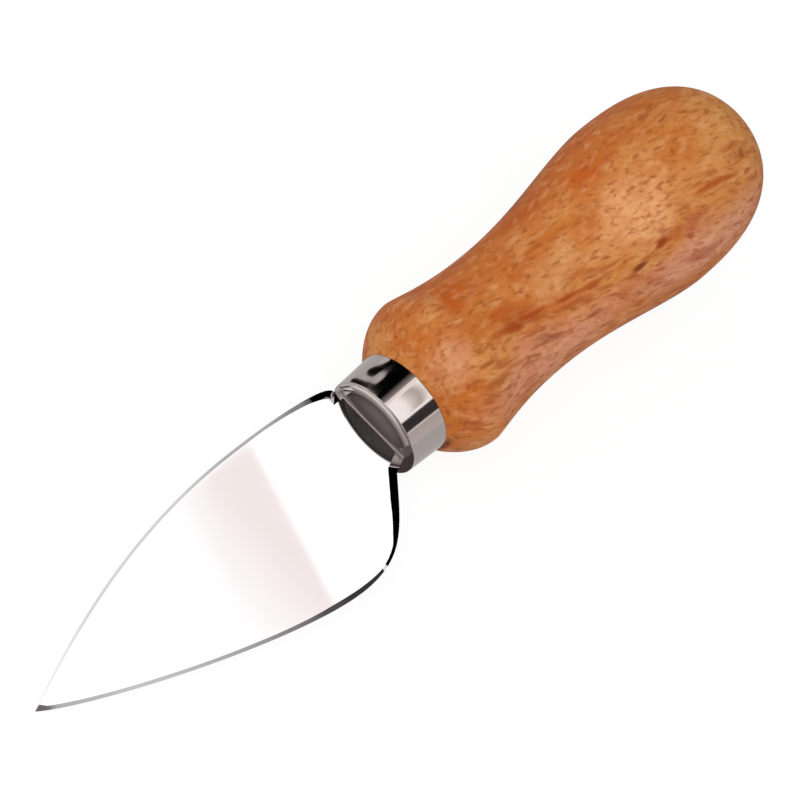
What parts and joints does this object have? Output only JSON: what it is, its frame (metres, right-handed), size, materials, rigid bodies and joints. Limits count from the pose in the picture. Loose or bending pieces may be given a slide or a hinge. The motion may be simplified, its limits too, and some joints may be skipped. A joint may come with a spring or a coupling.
{
  "type": "cheese knife",
  "caption": "Small cheese knife with a leaf-shaped pointed steel blade, a short steel cap and a turned round wooden handle.",
  "frame": {"origin": "on the handle's axis at its waist, where the hand holds it", "axes": "+X along the handle's axis towards the blade's point; +Y towards the rounded belly edge; +Z is the blade's upper flat face's normal"},
  "size_m": [0.1397, 0.0303, 0.0276],
  "materials": {
    "blade_steel": "mirror-polished stainless steel",
    "cap_steel": "bright drawn stainless steel",
    "handle_wood": "turned hardwood, oiled to a satin sheen",
    "epoxy": "cured amber epoxy"
  },
  "bodies": {
    "root": {"blade": "blade_steel", "ferrule": "cap_steel", "handle": "handle_wood", "tang_adhesive": "epoxy"}
  },
  "joints": []
}
